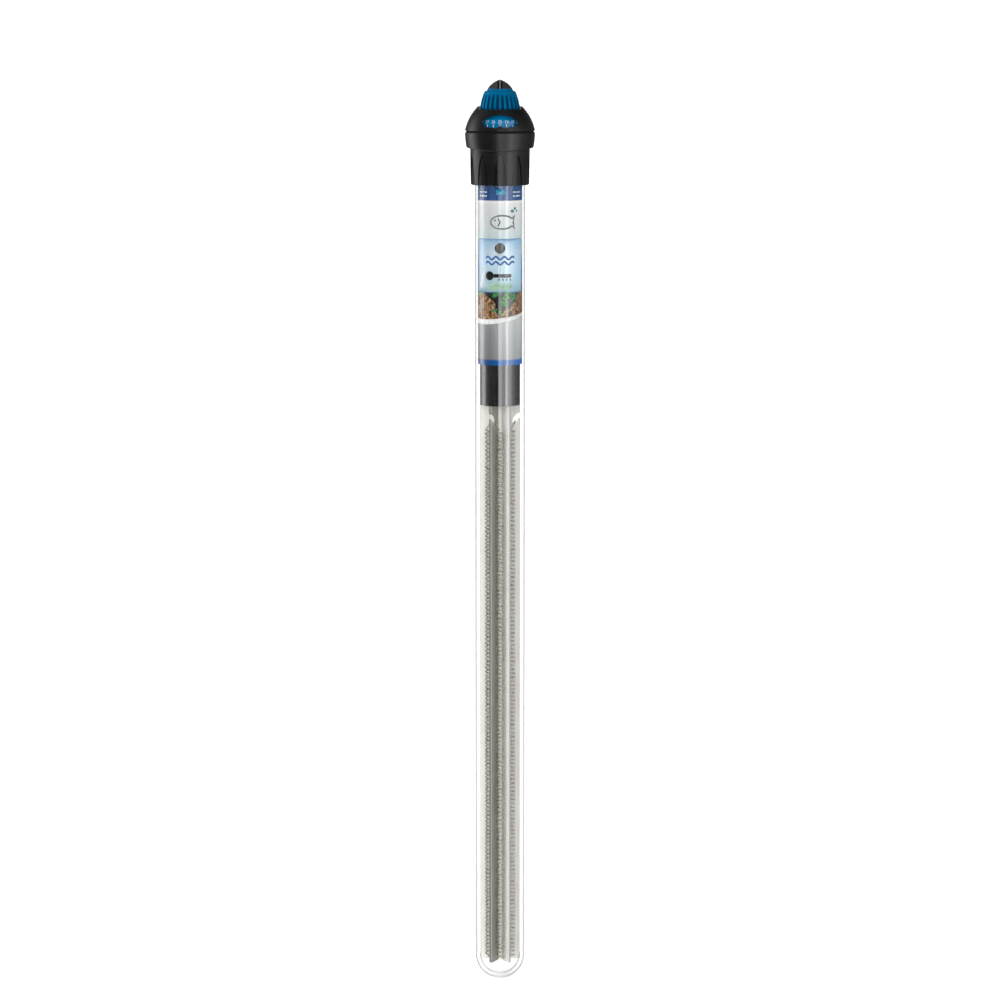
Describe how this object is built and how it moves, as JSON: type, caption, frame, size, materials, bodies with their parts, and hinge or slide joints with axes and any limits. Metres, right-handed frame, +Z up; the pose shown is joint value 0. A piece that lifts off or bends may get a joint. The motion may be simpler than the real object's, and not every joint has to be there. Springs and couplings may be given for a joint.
{
  "type": "submersible aquarium heater",
  "caption": "Submersible aquarium heater: closed glass tube over a finned ceramic heating core and a rolled-in label, with a black head, a window scale and a ribbed turning knob.",
  "frame": {"origin": "lowest point of the glass tube's round end, on the tube's axis", "axes": "+Z up along the tube towards the knob, -Y towards the front with the scale window, +Y towards the cord inlet"},
  "size_m": [0.0362, 0.0362, 0.4782],
  "materials": {
    "clear_glass": "clear borosilicate, polished",
    "label_print": "printed film, glossy",
    "gloss_black": "glossy",
    "ceramic": "unglazed, fine grained",
    "resistance_wire": "oxidised wire",
    "mica": "layered sheet",
    "black_plastic": "fine satin moulding",
    "tip_black": "satin",
    "dial_blue": "satin moulding, coloured through",
    "steel": "zinc plated",
    "brass": "turned",
    "bimetal": "rolled strip",
    "silver_contact": "polished",
    "magnet": "sintered",
    "nylon": "natural",
    "rubber": "moulded",
    "silicone": "moulded, translucent grey",
    "wire_brown": "silicone insulation",
    "wire_blue": "silicone insulation",
    "lamp_glass": "clear bulb",
    "resistor_tan": "lacquered",
    "fuse_white": "glazed body",
    "capacitor_yellow": "moulded box"
  },
  "bodies": {
    "heater": {"glass_tube": "clear_glass", "label_sleeve": "label_print", "carrier_sleeve": "gloss_black", "ceramic_core": "ceramic", "heating_coil_1": "resistance_wire", "heating_coil_2": "resistance_wire", "heating_coil_3": "resistance_wire", "heating_coil_4": "resistance_wire", "heating_coil_5": "resistance_wire", "heating_coil_6": "resistance_wire", "top_links": "resistance_wire", "bottom_links": "resistance_wire", "return_leads": "resistance_wire", "heat_shield": "mica", "lower_housing": "black_plastic", "head_core": "black_plastic", "head_dome": "black_plastic", "snap_ring": "steel", "retaining_ring": "nylon", "glass_seal_ring": "rubber", "stopper": "silicone", "cord_gland": "rubber", "cord_clamp": "nylon", "cord_clamp_screws": "steel", "spindle_seal": "rubber", "thermostat_frame": "steel", "nut_spring": "steel", "fixed_contact": "silver_contact", "contact_bracket": "brass", "contact_insulator": "ceramic", "magnet": "magnet", "bimetal_clamp": "brass", "rivets": "steel", "terminal_1": "brass", "terminal_2": "brass", "mains_lead_1": "wire_brown", "mains_lead_2": "wire_blue", "wire_splice_1": "brass", "wire_splice_2": "brass", "lamp_bulb": "lamp_glass", "lamp_electrodes": "steel", "lamp_reflector": "nylon", "lamp_resistor": "resistor_tan", "thermal_fuse": "fuse_white", "capacitor": "capacitor_yellow"},
    "dial": {"knob": "dial_blue", "knob_cap": "tip_black", "scale_drum": "dial_blue", "spindle": "brass", "spindle_clip": "steel", "knob_screw": "steel"},
    "nut": {"setting_nut": "nylon"},
    "contact_arm": {"bimetal_strip": "bimetal", "moving_contact": "silver_contact"}
  },
  "joints": [
    {"name": "dial_turn", "type": "hinge", "parent": "heater", "child": "dial", "pos_m": [0, 0, 0.452], "axis": [0, 0, 1], "range_deg": [-67.5, 108]},
    {"name": "nut_travel", "type": "slide", "parent": "heater", "child": "nut", "axis": [0, 0, 1], "range_m": [-0.00022, 0.00014], "deforming": ["nut_spring"]},
    {"name": "contact_flex", "type": "hinge", "parent": "heater", "child": "contact_arm", "pos_m": [0, -0.0002, 0.3465], "axis": [1, 0, 0], "range_deg": [0, 1.2], "stiffness_Nm_per_rad": 0.01, "springref_deg": -1.15}
  ],
  "couplings": [
    {"joint": "nut_travel", "follows": "dial_turn", "m_per_rad": -0.00011141}
  ]
}
